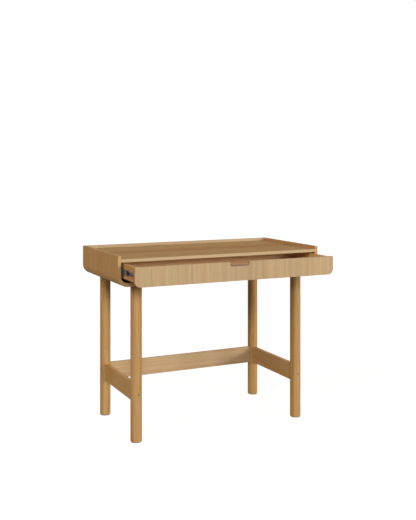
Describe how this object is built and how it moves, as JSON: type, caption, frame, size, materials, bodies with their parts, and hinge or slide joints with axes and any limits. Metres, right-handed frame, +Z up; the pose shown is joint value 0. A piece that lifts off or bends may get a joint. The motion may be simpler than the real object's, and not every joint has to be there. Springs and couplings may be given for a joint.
{
  "type": "writing desk",
  "caption": "Writing desk: shallow case with rounded lower corners and a low rim round the worktop, full-width drawer on ball slides, round legs tied by flat stretchers.",
  "frame": {"origin": "on the floor, at the middle of the desk's box with the drawer as drawn, part open", "axes": "+X to the sitter's right, +Y to the back, +Z up"},
  "size_m": [1, 0.654, 0.806],
  "materials": {
    "oak_case": "matt lacquered oak veneer, grain upright on the sides",
    "oak_worktop": "matt lacquered oak veneer, grain along the width",
    "oak_drawer_front": "matt lacquered oak veneer, grain upright",
    "oak_legs": "matt lacquered solid oak, grain upright",
    "oak_stretchers": "matt lacquered oak veneer, grain along the length",
    "oak_drawer_box": "lacquered oak-coloured board",
    "beech_joinery": "plain beech",
    "slide_steel": "dark zinc plate",
    "cage_steel": "zinc plate",
    "ball_steel": "polished",
    "fastener_steel": "zinc plate",
    "bumper_plastic": "moulded black",
    "glide_plastic": "moulded brown"
  },
  "bodies": {
    "desk": {"left_side_panel": "oak_case", "right_side_panel": "oak_case", "left_corner_moulding": "oak_case", "right_corner_moulding": "oak_case", "bottom_panel": "oak_case", "back_panel": "oak_case", "top_panel": "oak_worktop", "front_left_leg": "oak_legs", "front_right_leg": "oak_legs", "back_left_leg": "oak_legs", "back_right_leg": "oak_legs", "left_stretcher": "oak_stretchers", "right_stretcher": "oak_stretchers", "back_stretcher": "oak_stretchers", "case_splines": "beech_joinery", "top_panel_dowels": "beech_joinery", "back_panel_dowels": "beech_joinery", "stretcher_dowels": "beech_joinery", "left_cabinet_slide": "slide_steel", "right_cabinet_slide": "slide_steel", "leg_hanger_bolts": "fastener_steel", "leg_tee_nuts": "fastener_steel", "stretcher_bolts": "fastener_steel", "stretcher_insert_nuts": "fastener_steel", "cabinet_slide_screws": "fastener_steel", "foot_glides": "glide_plastic"},
    "drawer": {"drawer_front": "oak_drawer_front", "drawer_left_side": "oak_drawer_box", "drawer_right_side": "oak_drawer_box", "drawer_back": "oak_drawer_box", "drawer_bottom": "oak_drawer_box", "drawer_dowels": "beech_joinery", "left_drawer_slide": "slide_steel", "right_drawer_slide": "slide_steel", "drawer_slide_screws": "fastener_steel"},
    "left_middle": {"left_middle_slide": "slide_steel", "left_slide_bumper": "bumper_plastic"},
    "left_outer_cage": {"left_outer_ball_cage": "cage_steel", "left_outer_balls": "ball_steel"},
    "left_inner_cage": {"left_inner_ball_cage": "cage_steel", "left_inner_balls": "ball_steel"},
    "right_middle": {"right_middle_slide": "slide_steel", "right_slide_bumper": "bumper_plastic"},
    "right_outer_cage": {"right_outer_ball_cage": "cage_steel", "right_outer_balls": "ball_steel"},
    "right_inner_cage": {"right_inner_ball_cage": "cage_steel", "right_inner_balls": "ball_steel"}
  },
  "joints": [
    {"name": "drawer_slide", "type": "slide", "parent": "desk", "child": "drawer", "axis": [0, -1, 0], "range_m": [-0.154, 0.146]},
    {"name": "left_middle_travel", "type": "slide", "parent": "desk", "child": "left_middle", "axis": [0, -1, 0], "range_m": [-0.077, 0.073]},
    {"name": "left_outer_cage_travel", "type": "slide", "parent": "desk", "child": "left_outer_cage", "axis": [0, -1, 0], "range_m": [-0.0385, 0.0365]},
    {"name": "left_inner_cage_travel", "type": "slide", "parent": "desk", "child": "left_inner_cage", "axis": [0, -1, 0], "range_m": [-0.1155, 0.1095]},
    {"name": "right_middle_travel", "type": "slide", "parent": "desk", "child": "right_middle", "axis": [0, -1, 0], "range_m": [-0.077, 0.073]},
    {"name": "right_outer_cage_travel", "type": "slide", "parent": "desk", "child": "right_outer_cage", "axis": [0, -1, 0], "range_m": [-0.0385, 0.0365]},
    {"name": "right_inner_cage_travel", "type": "slide", "parent": "desk", "child": "right_inner_cage", "axis": [0, -1, 0], "range_m": [-0.1155, 0.1095]}
  ],
  "couplings": [
    {"joint": "left_middle_travel", "follows": "drawer_slide", "ratio": 0.5},
    {"joint": "left_outer_cage_travel", "follows": "drawer_slide", "ratio": 0.25},
    {"joint": "left_inner_cage_travel", "follows": "drawer_slide", "ratio": 0.75},
    {"joint": "right_middle_travel", "follows": "drawer_slide", "ratio": 0.5},
    {"joint": "right_outer_cage_travel", "follows": "drawer_slide", "ratio": 0.25},
    {"joint": "right_inner_cage_travel", "follows": "drawer_slide", "ratio": 0.75}
  ]
}
